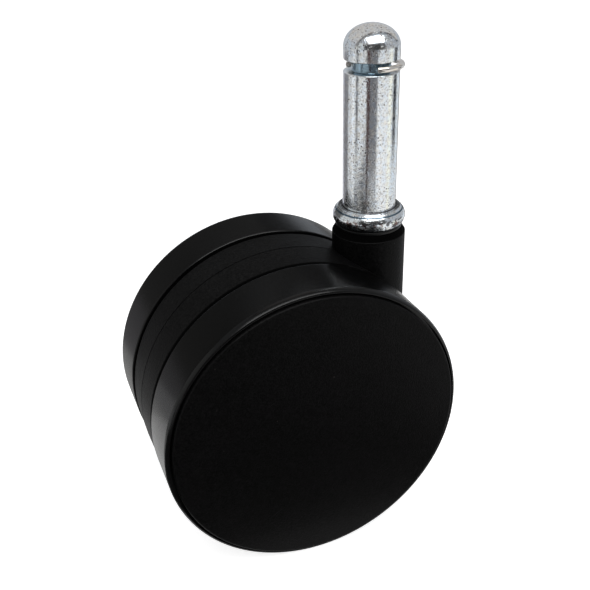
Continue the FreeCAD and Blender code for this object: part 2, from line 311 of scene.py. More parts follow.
# bright zinc plate, with colours for painted shade on the groove's floor, in the collar's crease and in the corner at
# the shank's foot. A noise is (scale, detail, roughness)
zincLook = {
    "light": (0.81, 0.885, 0.96, 1), "warm": (0.88, 0.875, 0.835, 1), "dull": (0.45, 0.43, 0.43, 1),
    "pit": (0.075, 0.05, 0.04, 1), "groove": (0.27, 0.37, 0.44, 1), "crease": (0.10, 0.17, 0.23, 1),
    "tarnishAndShade": (0.05, 0.045, 0.05, 1), "rust": (0.17, 0.07, 0.05, 1),
    "smooth": 0.09, "rough": 0.22, "pitRough": 0.25, "bumpDepth": 0.013,
    "cloudNoise": (140.0, 3.0, 0.55), "mottleNoise": (1100.0, 3.0, 0.6), "grainNoise": (4200.0, 2.0, 0.6),
    "blotchNoise": (900.0, 4.0, 0.65), "rustNoise": (700.0, 1.0, 0.55),
    "cloudRange": (0.4, 0.62), "mottleRange": (0.35, 0.7), "grainRange": (0.54, 0.60),
    "blotchRange": (0.52, 0.545), "rustRange": (0.5, 0.58), "wornRange": (0.35, 0.8),
    "leastPits": 0.35, "leastDull": 0.5, "pitTint": 0.85, "creaseShadeTint": 0.95, "footShadeTint": 0.9,
    "blotchTint": 0.85, "dullRough": 0.3, "mottleHeight": 1.2, "grainHeight": 0.7, "scratchHeight": 0.4,
    "pits": {"Scale": 1800.0, "Size": 0.27, "Share": 0.6},
    "bigPits": {"Scale": 900.0, "Size": 0.14, "Share": 0.17},
    "scratches": {"Scale": 420.0, "Cover": 0.64}}
# where the plate's marks and its painted shade fade in, from nothing to full, by radius or by height
zincMarks = {
    "grooveRadius": (5.2, 4.4), "grooveLow": (27.7, 28.0), "grooveHigh": (30.3, 30.0),
    "collarRadius": (6.80, 6.86), "creaseDrop": 0.53, "creaseHalf": (0.16, 0.1),
    "footRadius": (5.88, 5.76), "footHigh": (0.22, 0.1), "footLow": (-0.2, -0.1),
    "bulgeLow": (-3.5, -2.9), "bulgeHigh": (-1.1, -1.6)}


def makeZinc():
    look, marks = zincLook, zincMarks
    material, tree, shader = newMaterial("zincPlate", {"Metallic": 1.0})
    coords = objectCoords(tree)
    patchy = remap(tree, noise(tree, coords, *look["cloudNoise"]), *look["cloudRange"])
    mottle = noise(tree, coords, *look["mottleNoise"])
    grain = noise(tree, coords, *look["grainNoise"])
    pits = useGroup(tree, speckGroup, look["pits"])["Mask"]
    bigPits = useGroup(tree, speckGroup, look["bigPits"])["Mask"]
    scratches = useGroup(tree, scratchGroup, look["scratches"])["Mask"]
    pits = product(tree, pits, remap(tree, patchy, 0.0, 1.0, look["leastPits"], 1.0))
    allPits = maths(tree, "MAXIMUM", pits, bigPits)
    dulling = product(tree, remap(tree, grain, *look["grainRange"]),
                      remap(tree, patchy, 0.0, 1.0, look["leastDull"], 1.0))
    colour = blendColour(tree, remap(tree, mottle, *look["mottleRange"]), look["light"], look["warm"])
    colour = blendColour(tree, dulling, colour, look["dull"])
    colour = tint(tree, allPits, look["pitTint"], colour, look["pit"])

    x, y, z = splitXYZ(tree, coords)
    fromAxis = maths(tree, "SQRT", maths(tree, "ADD", product(tree, x, x), product(tree, y, y)))
    # painted shade: the groove's floor is coloured a darker bluish grey
    grooveShadeMask = product(tree, fade(tree, fromAxis, marks["grooveRadius"]), fade(tree, z, marks["grooveLow"]),
                       fade(tree, z, marks["grooveHigh"]))
    colour = blendColour(tree, grooveShadeMask, colour, look["groove"])
    onCollar = fade(tree, fromAxis, marks["collarRadius"])
    # painted shade: a dark bluish ring in the collar's crease
    fromCrease = maths(tree, "ABSOLUTE", maths(tree, "ADD", z, marks["creaseDrop"] * mm))
    creaseShade = product(tree, onCollar, fade(tree, fromCrease, marks["creaseHalf"]))
    colour = tint(tree, creaseShade, look["creaseShadeTint"], colour, look["crease"])
    # painted shade: the dark tarnish colour darkens the corner where the shank meets the seat
    footShade = product(tree, fade(tree, fromAxis, marks["footRadius"]), fade(tree, z, marks["footHigh"]),
                     fade(tree, z, marks["footLow"]))
    colour = tint(tree, footShade, look["footShadeTint"], colour, look["tarnishAndShade"])
    # on the bulge the same dark colour is tarnish, in blotches mixed with rust
    blotches = remap(tree, noise(tree, coords, *look["blotchNoise"]), *look["blotchRange"])
    onBulge = product(tree, fade(tree, z, marks["bulgeLow"]), fade(tree, z, marks["bulgeHigh"]))
    rusty = remap(tree, noise(tree, coords, *look["rustNoise"]), *look["rustRange"])
    tarnishAndShade = blendColour(tree, rusty, look["tarnishAndShade"], look["rust"])
    colour = tint(tree, product(tree, blotches, onCollar, onBulge), look["blotchTint"], colour, tarnishAndShade)

    worn = maths(tree, "ADD", mottle, product(tree, dulling, look["dullRough"]))
    worn = remap(tree, worn, *look["wornRange"], look["smooth"], look["rough"])
    height = maths(tree, "ADD", product(tree, mottle, look["mottleHeight"]),
                   product(tree, grain, look["grainHeight"]))
    cuts = maths(tree, "ADD", allPits, product(tree, scratches, look["scratchHeight"]))
    feed(tree, shader, {"Base Color": colour,
                        "Roughness": maths(tree, "ADD", worn, product(tree, allPits, look["pitRough"])),
                        "Normal": bumpOf(tree, maths(tree, "SUBTRACT", height, cuts), look["bumpDepth"])})
    return material


# drawn or ground steel, with fine lines along or around the piece
springLook = {"light": (0.90, 0.87, 0.82, 1), "dark": (0.66, 0.60, 0.54, 1), "smooth": 0.08, "rough": 0.22,
              "lineStretch": (1, 1, 8), "lineScale": 900.0, "lineDepth": 0.006, "cloudScale": 400.0,
              "cloudRange": (0.4, 0.7), "lineRange": (0.3, 0.7)}
axleLook = {"light": (0.55, 0.55, 0.56, 1), "dark": (0.34, 0.34, 0.35, 1), "smooth": 0.24, "rough": 0.42,
            "lineStretch": (6, 1, 6), "lineScale": 700.0, "lineDepth": 0.004, "cloudScale": 250.0,
            "cloudRange": (0.35, 0.75), "lineRange": (0.3, 0.7)}


def makeSteel(name, look):
    material, tree, shader = newMaterial(name, {"Metallic": 1.0})
    lines = noise(tree, objectCoords(tree, look["lineStretch"]), look["lineScale"])
    cloud = remap(tree, noise(tree, objectCoords(tree), look["cloudScale"]), *look["cloudRange"])
    feed(tree, shader, {"Base Color": blendColour(tree, cloud, look["light"], look["dark"]),
                        "Roughness": remap(tree, lines, *look["lineRange"], look["smooth"], look["rough"]),
                        "Normal": bumpOf(tree, lines, look["lineDepth"])})
    return material


# the same for every moulded plastic
mouldSpec = {"cloudScale": 45.0, "cloudRange": (0.35, 0.7), "scratchScale": 160.0, "scratchHeight": 0.3,
             "speckSize": 0.05, "dustScale": 70.0, "dustRange": (0.44, 0.6), "dustTint": 0.8}
housingLook = {"dark": (0.0006, 0.0006, 0.0007, 1), "light": (0.0010, 0.0010, 0.0010, 1),
               "grainColour": (0.0098, 0.0097, 0.0100, 1), "scuff": (0.01, 0.01, 0.01, 1),
               "dust": (0.07, 0.07, 0.07, 1), "gloss": 0.058, "smooth": 0.34, "rough": 0.42,
               "grainScale": 2300.0, "grainDepth": 0.08, "grainTint": 0.5, "grainDull": 0.1,
               "scratchCover": 0.74, "scratchTint": 0.1, "speckScale": 430.0, "speckShare": 0.3}
# where the housing's marks fade in, from nothing to full. Painted shade darkens the gap that runs beside each wheel
# and the neck's chamfer under the collar, and the seam is the dark bottom of the parting line, dirt and painted shade
housingMarks = {"hoodGrain": (0.012, 0.0118, 0.0116, 1), "hoodTint": 0.6, "hoodX": (-8.5, -12.5),
                "shadeAndDirtColour": (0.0003, 0.0003, 0.0003, 1), "gapDull": 0.55, "gapY": (7.55, 7.8),
                "gapX": (-8.1, -8.5), "chamferZ": (-5.68, -5.6), "seamY": (0.16, 0.1), "seamX": (-7.0, -7.6)}
wheelLook = {"dark": (0.0009, 0.0009, 0.0010, 1), "light": (0.0015, 0.0015, 0.0015, 1),
             "grainColour": (0.0028, 0.0028, 0.0028, 1), "scuff": (0.006, 0.006, 0.006, 1),
             "dust": (0.06, 0.06, 0.06, 1), "gloss": 0.27, "smooth": 0.17, "rough": 0.21,
             "grainScale": 1900.0, "grainDepth": 0.004, "grainTint": 0.35, "grainDull": 0.05,
             "scratchCover": 0.72, "scratchTint": 0.1, "speckScale": 240.0, "speckShare": 0.05}
capLook = {"dark": (0.0004, 0.0006, 0.0004, 1), "light": (0.0011, 0.0008, 0.0011, 1),
           "grainColour": (0.0058, 0.0056, 0.0058, 1), "scuff": (0.008, 0.008, 0.008, 1),
           "dust": (0.06, 0.057, 0.05, 1), "gloss": 0.08, "smooth": 0.36, "rough": 0.44,
           "grainScale": 2600.0, "grainDepth": 0.05, "grainTint": 0.85, "grainDull": 0.1,
           "scratchCover": 0.76, "scratchTint": 0.1, "speckScale": 430.0, "speckShare": 0.5}
washerLook = {"dark": (0.0010, 0.0010, 0.0010, 1), "light": (0.0016, 0.0016, 0.0016, 1),
              "grainColour": (0.003, 0.003, 0.003, 1), "scuff": (0.01, 0.01, 0.01, 1),
              "dust": (0.06, 0.06, 0.06, 1), "gloss": 0.3, "smooth": 0.26, "rough": 0.36,
              "grainScale": 2600.0, "grainDepth": 0.008, "grainTint": 0.3, "grainDull": 0.05,
              "scratchCover": 0.7, "scratchTint": 0.2, "speckScale": 300.0, "speckShare": 0.05}
bushLook = {"dark": (0.42, 0.41, 0.37, 1), "light": (0.52, 0.51, 0.47, 1),
            "grainColour": (0.58, 0.57, 0.53, 1), "scuff": (0.3, 0.29, 0.26, 1),
            "dust": (0.2, 0.2, 0.2, 1), "gloss": 0.5, "smooth": 0.36, "rough": 0.48,
            "grainScale": 2400.0, "grainDepth": 0.01, "grainTint": 0.3, "grainDull": 0.05,
            "scratchCover": 0.66, "scratchTint": 0.3, "speckScale": 300.0, "speckShare": 0.05}


# paler grain on the hood, and painted shade, dark and dull, in the gaps, on the neck's chamfer and, with dirt, along
# the seam
def markHousing(tree, coords, grainMask, colour, roughness):
    marks = housingMarks
    x, y, z = splitXYZ(tree, coords)
    fromMiddle = maths(tree, "ABSOLUTE", y)
    onHood = product(tree, grainMask, fade(tree, x, marks["hoodX"]))
    colour = tint(tree, onHood, marks["hoodTint"], colour, marks["hoodGrain"])
    # painted shade: the gap beside each wheel is darkened and dulled
    gapShade = product(tree, fade(tree, fromMiddle, marks["gapY"]), fade(tree, x, marks["gapX"]))
    # dirt and painted shade along the bottom of the parting line's seam
    seamDirtAndShade = product(tree, fade(tree, fromMiddle, marks["seamY"]), fade(tree, x, marks["seamX"]))
    # painted shade: the same dark colour covers the neck's chamfer and top under the collar
    shaded = maths(tree, "MAXIMUM", maths(tree, "MAXIMUM", gapShade, fade(tree, z, marks["chamferZ"])), seamDirtAndShade)
    roughness = maths(tree, "ADD", roughness, product(tree, shaded, marks["gapDull"]), clamp=True)
    return blendColour(tree, shaded, colour, marks["shadeAndDirtColour"]), roughness


# one recipe for the moulded plastics, each with its own values
def makePlastic(name, look):
    material, tree, shader = newMaterial(name, {"Specular IOR Level": look["gloss"]})
    coords = objectCoords(tree)
    grain = useGroup(tree, grainGroup, {"Scale": look["grainScale"]})
    cloud = remap(tree, noise(tree, coords, mouldSpec["cloudScale"]), *mouldSpec["cloudRange"])
    scratches = useGroup(tree, scratchGroup, {"Scale": mouldSpec["scratchScale"],
                                              "Cover": look["scratchCover"]})["Mask"]
    specks = useGroup(tree, speckGroup, {"Scale": look["speckScale"], "Size": mouldSpec["speckSize"],
                                         "Share": look["speckShare"]})["Mask"]
    dusty = remap(tree, noise(tree, coords, mouldSpec["dustScale"], 2.0), *mouldSpec["dustRange"])
    colour = blendColour(tree, cloud, look["dark"], look["light"])
    colour = tint(tree, grain["Mask"], look["grainTint"], colour, look["grainColour"])
    colour = tint(tree, scratches, look["scratchTint"], colour, look["scuff"])
    colour = tint(tree, product(tree, specks, dusty), mouldSpec["dustTint"], colour, look["dust"])
    roughness = maths(tree, "ADD", remap(tree, cloud, 0.0, 1.0, look["smooth"], look["rough"]),
                      product(tree, grain["Mask"], look["grainDull"]))
    if look is housingLook:
        colour, roughness = markHousing(tree, coords, grain["Mask"], colour, roughness)
    height = maths(tree, "SUBTRACT", grain["Height"], product(tree, scratches, mouldSpec["scratchHeight"]))
    feed(tree, shader, {"Base Color": colour, "Roughness": roughness,
                        "Normal": bumpOf(tree, height, look["grainDepth"])})
    return material


slotMaterials = {
    "zinc_plate": makeZinc(),
    "spring_steel": makeSteel("springWire", springLook),
    "axle_steel": makeSteel("groundSteel", axleLook),
    "housing_plastic": makePlastic("housingPlastic", housingLook),
    "wheel_plastic": makePlastic("wheelPlastic", wheelLook),
    "cap_plastic": makePlastic("capPlastic", capLook),
    "washer_plastic": makePlastic("washerPlastic", washerLook),
    "bush_plastic": makePlastic("bushPlastic", bushLook)}
for subpart in frame["record"]["subparts"]:
    for slot in nodes[subpart["node"]].material_slots:
        slot.material = slotMaterials[subpart["material_slot"]]
print("materials ready:", len(slotMaterials))


# the turned stem, from the dome down to the spindle's tip
stemSpec = {"shank": 5.556, "length": 36.8, "dome": 4.2, "domeSteps": 20,
            "grooveLow": 27.9, "grooveHigh": 30.1, "grooveRoot": 3.8, "grooveEdge": 0.22, "grooveCorner": 0.3,
            "shankFoot": 0.16, "seat": 6.406, "seatEdge": 0.14,
            "land": 6.93, "landDrop": 0.47, "landEdge": 0.05, "creaseWall": 0.1, "crease": 0.12, "creaseEdge": 0.03,
            "bulge": 7.606, "footDrop": 3.6, "footRim": 0.3, "spindle": 5.0, "spindleTop": 0.1,
            "clipRoot": 4.35, "clipHigh": -14.95, "clipLow": -15.95, "tip": -28.0, "tipChamfer": 2.0,
            "tipEdge": 0.3, "steps": 144}


def makeStem():
    spec = stemSpec
    shank, land, spindle, foot = spec["shank"], spec["land"], spec["spindle"], -spec["footDrop"]
    shoulder = spec["length"] - spec["dome"]
    bm = bmesh.new()
    drawArc(bm, (shank, shoulder), (0, shoulder), 90, spec["dome"] / shank, spec["domeSteps"])
    start = Vector((land + spec["crease"], -spec["landDrop"] - spec["crease"]))
    drawOutline(bm, [
        (shank, shoulder, 0),
        (shank, spec["grooveHigh"], spec["grooveEdge"]),
        (spec["grooveRoot"], spec["grooveHigh"], spec["grooveCorner"]),
        (spec["grooveRoot"], spec["grooveLow"], spec["grooveCorner"]),
        (shank, spec["grooveLow"], spec["grooveEdge"]),
        (shank, 0, spec["shankFoot"]), (spec["seat"], 0, spec["seatEdge"]),
        (land, -spec["landDrop"], spec["landEdge"]),
        (land, -spec["landDrop"] - spec["creaseWall"], spec["creaseEdge"]), (start.x, start.y, 0)])
    # the collar's bulge: the arc from the crease to the foot, through the bulge's radius
    middle = (start.y + foot) / 2
    sagitta, half = spec["bulge"] - start.x, start.y - middle
    radius = (sagitta ** 2 + half ** 2) / (2 * sagitta)
    drawArc(bm, start, (spec["bulge"] - radius, middle), -2 * math.degrees(math.asin(half / radius)))
    drawOutline(bm, [
        (start.x, foot, 0), (start.x - spec["footRim"], foot, 0), (spindle, foot, spec["spindleTop"]),
        (spindle, spec["clipHigh"], 0), (spec["clipRoot"], spec["clipHigh"], 0),
        (spec["clipRoot"], spec["clipLow"], 0), (spindle, spec["clipLow"], 0),
        (spindle, spec["tip"] + spec["tipChamfer"], spec["tipEdge"]),
        (spindle - spec["tipChamfer"], spec["tip"], spec["tipEdge"]), (0, spec["tip"], 0)])
    latheOutline(bm, spec["steps"])
    finishPiece(bm, "turnedStem", "stem", "stem", "zinc_plate")


# the split ring of round wire that grips the chair's sleeve. It rests off the stem's axis, to one side
ringSpec = {"wire": 0.6, "centre": 5.15, "height": 29.0, "lean": -26.0, "shift": 0.7, "open": 160.0,
            "close": 249.0, "endBreak": 0.14, "segments": 28, "steps": 140, "endSegments": 4}


def makeGripRing():
    spec = ringSpec
    bm = bmesh.new()
    bmesh.ops.create_circle(bm, radius=spec["wire"] * mm, segments=spec["segments"])
    rotateVerts(bm, bm.verts, 90, "X")
    moveVerts(bm, bm.verts, spec["centre"], 0, 0)
    rotateVerts(bm, bm.verts, spec["close"], "Z")
    spinAll(bm, 360 - spec["close"] + spec["open"], spec["steps"])
    rims = [edge for edge in bm.edges if edge.is_boundary]
    ends = bmesh.ops.holes_fill(bm, edges=rims, sides=0)["faces"]
    bmesh.ops.bevel(bm, geom=[edge for face in ends for edge in face.edges], offset=spec["endBreak"] * mm,
                    offset_type="OFFSET", segments=spec["endSegments"], profile=0.5, affect="EDGES", material=-1)
    lean = math.radians(spec["lean"])
    moveVerts(bm, bm.verts, spec["shift"] * math.cos(lean), spec["shift"] * math.sin(lean), spec["height"])
    finishPiece(bm, "gripRing", "grip_ring", "grip_ring", "spring_steel")


neckWasherSpec = {"bore": 5.05, "rim": 7.0, "high": -3.75, "low": -4.4, "rounding": 0.18, "boreEdge": 0.06,
                  "steps": 128}


def makeNeckWasher():
    spec = neckWasherSpec
    bm = bmesh.new()
    drawOutline(bm, [(spec["bore"], spec["high"], spec["boreEdge"]), (spec["rim"], spec["high"], spec["rounding"]),
                     (spec["rim"], spec["low"], spec["rounding"]), (spec["bore"], spec["low"], spec["boreEdge"])],
                closed=True)
    latheOutline(bm, spec["steps"])
    finishPiece(bm, "neckWasher", "housing", "neck_washer", "washer_plastic")


axleSpec = {"x": -20.6, "z": -38.25}
postSegments = 32


# stands a body that was turned about Z on the axle, on one side
def toAxle(bm, side):
    rotateVerts(bm, bm.verts, -90 * side, "X")
    moveVerts(bm, bm.verts, axleSpec["x"], 0, axleSpec["z"])


# a round post, blind-bored from its far end when it has a bore
def addPost(bm, spot, radius, low, high, bore=0.0, boreEnd=0.0):
    before = set(bm.verts)
    made = bmesh.ops.create_cone(bm, cap_ends=True, cap_tris=False, segments=postSegments, radius1=radius * mm,
                                 radius2=radius * mm, depth=(high - low) * mm)["verts"]
    moveVerts(bm, made, 0, 0, (low + high) / 2)
    if bore:
        sides = [face for vert in made for face in vert.link_faces]
        top = max(sides, key=lambda face: face.calc_center_median().z)
        bmesh.ops.inset_region(bm, faces=[top], thickness=(radius - bore) * mm)
        floor = bmesh.ops.extrude_discrete_faces(bm, faces=[top])["faces"][0]
        moveVerts(bm, floor.verts, 0, 0, boreEnd - high)
    moveVerts(bm, [vert for vert in bm.verts if vert not in before], spot[0], spot[1], 0)


def around(radius, count):
    turns = [math.tau * turn / count for turn in range(count)]
    return [(radius * math.cos(turn), radius * math.sin(turn)) for turn in turns]


# heights run outwards along the axle, from the caster's middle
wheelSpec = {"tread": 31.75, "near": 9.0, "face": 21.7, "edgeCorner": 1.272, "edgeRound": 0.6,
             "lip": 31.2, "lipDrop": 0.617, "lipRound": 0.24, "innerRound": 0.42, "recess": 30.95, "capSeat": 19.7,
             "rimBore": 28.8, "webFar": 11.2, "webRound": 0.6,
             "hub": 7.0, "hubBore": 4.07, "hubNear": 8.8, "hubFar": 17.0, "hubRound": 0.2, "steps": 224}
# the ribs behind the cap: spokes that reach into hub and rim, a ring, and bosses for the cap's posts
ribSpec = {"far": 16.8, "ring": 18.0, "thick": 1.8, "count": 8, "bite": 1.4, "round": 0.15, "steps": 96,
           "bosses": 4, "boss": 3.2, "bossBore": 1.52, "bossEnd": 14.6}


def addRibs(bm):
    spec, half = ribSpec, ribSpec["thick"] / 2
    web = (wheelSpec["near"] + wheelSpec["webFar"]) / 2
    ribs = bmesh.new()
    drawOutline(ribs, [(spec["ring"] - half, web, 0), (spec["ring"] + half, web, 0),
                       (spec["ring"] + half, spec["far"], spec["round"]),
                       (spec["ring"] - half, spec["far"], spec["round"])], closed=True)
    latheOutline(ribs, spec["steps"])
    low, high = wheelSpec["hub"] - spec["bite"], wheelSpec["rimBore"] + spec["bite"]
    for turn in range(spec["count"]):
        spoke = bmesh.ops.create_cube(ribs, size=mm)["verts"]
        bmesh.ops.scale(ribs, verts=spoke, vec=(high - low, spec["thick"], spec["far"] - web))
        moveVerts(ribs, spoke, (low + high) / 2, 0, (web + spec["far"]) / 2)
        rotateVerts(ribs, spoke, 360 * turn / spec["count"], "Z")
    for spot in around(spec["ring"], spec["bosses"]):
        addPost(ribs, spot, spec["boss"], web, spec["far"], spec["bossBore"], spec["bossEnd"])
    stiffeners = bpy.data.meshes.new("stiffeners")
    ribs.to_mesh(stiffeners)
    ribs.free()
    bm.from_mesh(stiffeners)


def makeWheel(name, side):
    spec = wheelSpec
    lipSeat = spec["face"] - spec["lipDrop"]
    bm = bmesh.new()
    drawOutline(bm, [
        (spec["tread"], spec["near"], spec["innerRound"]),
        (spec["tread"], spec["face"] - spec["edgeCorner"], spec["edgeRound"]),
        (spec["lip"], lipSeat, spec["lipRound"]), (spec["recess"], lipSeat, 0), (spec["recess"], spec["capSeat"], 0),
        (spec["rimBore"], spec["capSeat"], 0), (spec["rimBore"], spec["webFar"], spec["webRound"]),
        (spec["hub"], spec["webFar"], spec["webRound"]), (spec["hub"], spec["hubFar"], spec["hubRound"]),
        (spec["hubBore"], spec["hubFar"], 0), (spec["hubBore"], spec["hubNear"], 0),
        (spec["hub"], spec["hubNear"], 0), (spec["hub"], spec["near"], 0)], closed=True)
    latheOutline(bm, spec["steps"])
    addRibs(bm)
    toAxle(bm, side)
    finishPiece(bm, "wheel" + name.capitalize(), "wheel_" + name, "wheel_" + name, "wheel_plastic")


capSpec = {"rim": 30.5, "face": 21.7, "faceRing": 15.25, "seat": 19.7, "edgeRound": 0.5,
           "spigotOuter": 28.7, "spigotInner": 27.3, "spigotEnd": 17.3, "spigotRound": 0.3,
           "posts": 4, "postRadius": 1.5, "postCircle": 18.0, "postEnd": 15.0, "postBite": 1.0, "steps": 224}


def makeWheelCap(name, side):
    spec = capSpec
    bm = bmesh.new()
    drawOutline(bm, [
        (0, spec["face"], 0), (spec["faceRing"], spec["face"], 0), (spec["rim"], spec["face"], spec["edgeRound"]),
        (spec["rim"], spec["seat"], 0), (spec["spigotOuter"], spec["seat"], 0),
        (spec["spigotOuter"], spec["spigotEnd"], spec["spigotRound"]),
        (spec["spigotInner"], spec["spigotEnd"], spec["spigotRound"]),
        (spec["spigotInner"], spec["seat"], 0), (0, spec["seat"], 0)])
    latheOutline(bm, spec["steps"])
    for spot in around(spec["postCircle"], spec["posts"]):
        addPost(bm, spot, spec["postRadius"], spec["postEnd"], spec["seat"] + spec["postBite"])
    toAxle(bm, side)
    finishPiece(bm, "wheelCap" + name.capitalize(), "wheel_" + name, "wheel_cap_" + name, "cap_plastic")


makeStem()
makeGripRing()
makeNeckWasher()
for name, side in (("left", 1), ("right", -1)):
    makeWheel(name, side)
    makeWheelCap(name, side)
print("stem, ring, washer, wheels and caps modelled")


stageSpec = {"floorSize": 6.0, "floorDrop": 0.00002, "paper": (0.78, 0.78, 0.78, 1), "glow": 0.82,
             "mirrorGlow": 0.26, "fill": 0.33}


def makeFloor():
    bm = bmesh.new()
    bmesh.ops.create_grid(bm, x_segments=1, y_segments=1, size=stageSpec["floorSize"] / 2)
    bmesh.ops.translate(bm, verts=bm.verts, vec=(0, 0, cadBox[0].z - stageSpec["floorDrop"]))
    floor = toObject(bm, "floor")
    material = bpy.data.materials.new("paper")
    tree = emptyTree(material)
    rays = addNode(tree, "ShaderNodeLightPath").outputs
    mirrored = maths(tree, "MAXIMUM", rays["Is Glossy Ray"], rays["Is Transmission Ray"])
    strength = maths(tree, "ADD", product(tree, rays["Is Camera Ray"], stageSpec["glow"]),
                     product(tree, mirrored, stageSpec["mirrorGlow"]))
    paper = feed(tree, addNode(tree, "ShaderNodeBsdfDiffuse"), {"Color": stageSpec["paper"]})
    glow = feed(tree, addNode(tree, "ShaderNodeEmission"), {"Strength": strength})
    toSurface(tree, feed(tree, addNode(tree, "ShaderNodeAddShader"), {0: paper.outputs[0], 1: glow.outputs[0]}))
    floor.data.materials.append(material)


# white where it is seen, straight or mirrored, and a soft fill everywhere else
def makeWorld():
    world = bpy.data.worlds.new("studio")
    scene.world = world
    tree = emptyTree(world)
    rays = addNode(tree, "ShaderNodeLightPath").outputs
    seen = maths(tree, "MAXIMUM", rays["Is Camera Ray"], rays["Is Glossy Ray"])
    seen = maths(tree, "MAXIMUM", seen, rays["Is Transmission Ray"])
    strength = remap(tree, seen, 0.0, 1.0, stageSpec["fill"], 1.0)
    background = addNode(tree, "ShaderNodeBackground")
    toSurface(tree, feed(tree, background, {"Color": (1, 1, 1, 1), "Strength": strength}), "ShaderNodeOutputWorld")


# Boards and sheets that only show in reflections, as the room does in polished steel. Each is a ring about
# the stem: its reach runs from an inner to an outer radius, its height from the inner edge to the outer
# one, and its bearing from start to end in degrees, where 0 is +X and 90 is +Y
boardSteps = 48
boardSpecs = {
    "wall": {"reach": (0.9, 0.9), "height": (-0.07, 0.62), "bearing": (0, 360), "colour": (0.104, 0.103, 0.101)},
    "dimWall": {"reach": (0.885, 0.885), "height": (0.13, 0.42), "bearing": (45, 72), "colour": (0.05, 0.05, 0.05)},
    "ceiling": {"reach": (0.0, 0.9), "height": (0.62, 0.62), "bearing": (0, 360), "colour": (0.40, 0.41, 0.42)},
    "leftWall": {"reach": (0.88, 0.88), "height": (-0.07, 0.61), "bearing": (146, 212), "colour": (0.60, 0.61, 0.60)},
    "rightWall": {"reach": (0.88, 0.88), "height": (-0.07, 0.61), "bearing": (-60, 34), "colour": (0.45, 0.46, 0.48)},
    "room": {"reach": (0.87, 0.87), "height": (0.0, 0.5), "bearing": (214, 300), "colour": (0.05, 0.048, 0.047)},
    "greySheet": {"reach": (0.20, 0.85), "height": (-0.0685, -0.0685), "bearing": (239, 270),
                  "colour": (0.19, 0.19, 0.20)},
    "brownSheet": {"reach": (0.235, 0.85), "height": (-0.0682, -0.0682), "bearing": (226, 239),
                   "colour": (0.050, 0.010, 0.006)},
    "nearGrey": {"reach": (0.155, 0.20), "height": (-0.0681, -0.0681), "bearing": (214, 242),
                 "colour": (0.38, 0.38, 0.39)},
    "nearLine": {"reach": (0.15, 0.235), "height": (-0.068, -0.068), "bearing": (229, 236),
                 "colour": (0.03, 0.018, 0.014)},
    "leftPale": {"reach": (0.20, 0.85), "height": (-0.0683, -0.0683), "bearing": (163, 173),
                 "colour": (1.0, 1.02, 1.05)},
    "leftLine": {"reach": (0.245, 0.85), "height": (-0.0682, -0.0682), "bearing": (181, 190),
                 "colour": (0.02, 0.02, 0.03)},
    "rightPale": {"reach": (0.19, 0.85), "height": (-0.0685, -0.0685), "bearing": (-18, 34),
                  "colour": (0.78, 0.82, 0.86)},
    "rightLine": {"reach": (0.245, 0.85), "height": (-0.0682, -0.0682), "bearing": (-16, 6),
                  "colour": (0.012, 0.012, 0.018)},
    "warmSheet": {"reach": (0.12, 0.85), "height": (-0.0685, -0.0685), "bearing": (-40, -24),
                  "colour": (1.04, 1.03, 0.92)},
    "backSheet": {"reach": (0.12, 0.85), "height": (-0.0685, -0.0685), "bearing": (104, 139),
                  "colour": (0.225, 0.22, 0.23)},
    "backPale": {"reach": (0.12, 0.85), "height": (-0.0685, -0.0685), "bearing": (84, 104),
                 "colour": (0.64, 0.63, 0.68)},
    "nearBack": {"reach": (0.12, 0.19), "height": (-0.0684, -0.0684), "bearing": (136, 165),
                 "colour": (0.42, 0.42, 0.43)},
    "underBack": {"reach": (0.07, 0.12), "height": (-0.0684, -0.0684), "bearing": (120, 147),
                  "colour": (0.46, 0.46, 0.455)},
    "nearRight": {"reach": (0.06, 0.15), "height": (-0.0684, -0.0684), "bearing": (-25, 45),
                  "colour": (0.45, 0.45, 0.46)},
    "farRight": {"reach": (0.15, 0.85), "height": (-0.0683, -0.0683), "bearing": (38, 62),
                 "colour": (0.13, 0.13, 0.13)},
    "backWall": {"reach": (0.88, 0.88), "height": (-0.07, 0.13), "bearing": (20, 102), "colour": (0.45, 0.48, 0.52)},
    "leftSpot": {"reach": (0.86, 0.86), "height": (0.19, 0.30), "bearing": (-123, -117), "colour": (1.6, 1.6, 1.6)},
    "rightSpot": {"reach": (0.86, 0.86), "height": (0.19, 0.30), "bearing": (-79, -73), "colour": (1.6, 1.6, 1.6)},
    "topCard": {"reach": (0.03, 0.03), "height": (0.026, 0.045), "bearing": (7, 177), "colour": (0.52, 0.54, 0.57)}}
# two dark sheets on the floor in front, from one corner (x, y) to the other
nearSheetHeight = -0.069
nearSheets = {"frontSheet": {"low": (-0.20, -0.165), "high": (0.03, -0.028), "colour": (0.08, 0.08, 0.082)},
              "sideSheet": {"low": (-0.20, -0.03), "high": (-0.058, 0.012), "colour": (0.06, 0.06, 0.062)}}
# half-dome cards behind the stem's top: the pale one, and a dark one that shows as its edge
domeSpec = {"bearing": 92, "height": 0.034, "segments": 64, "rings": 32}
domeCards = {"paleCard": {"radius": 0.050, "behind": 0.001, "above": 0.010, "colour": (0.58, 0.555, 0.535)},
             "edgeCard": {"radius": 0.052, "behind": -0.0045, "above": 0.006, "colour": (0.05, 0.05, 0.055)}}


# a glowing board that the camera, the diffuse light and the shadows don't see
def mirrorOnly(bm, name, colour):
    board = toObject(bm, name)
    material = bpy.data.materials.new(name + "Card")
    tree = emptyTree(material)
    glow = addNode(tree, "ShaderNodeEmission")
    toSurface(tree, feed(tree, glow, {"Color": (*colour, 1), "Strength": 1.0}))
    board.data.materials.append(material)
    board.visible_camera = False
    board.visible_diffuse = False
    board.visible_shadow = False
    board.visible_volume_scatter = False


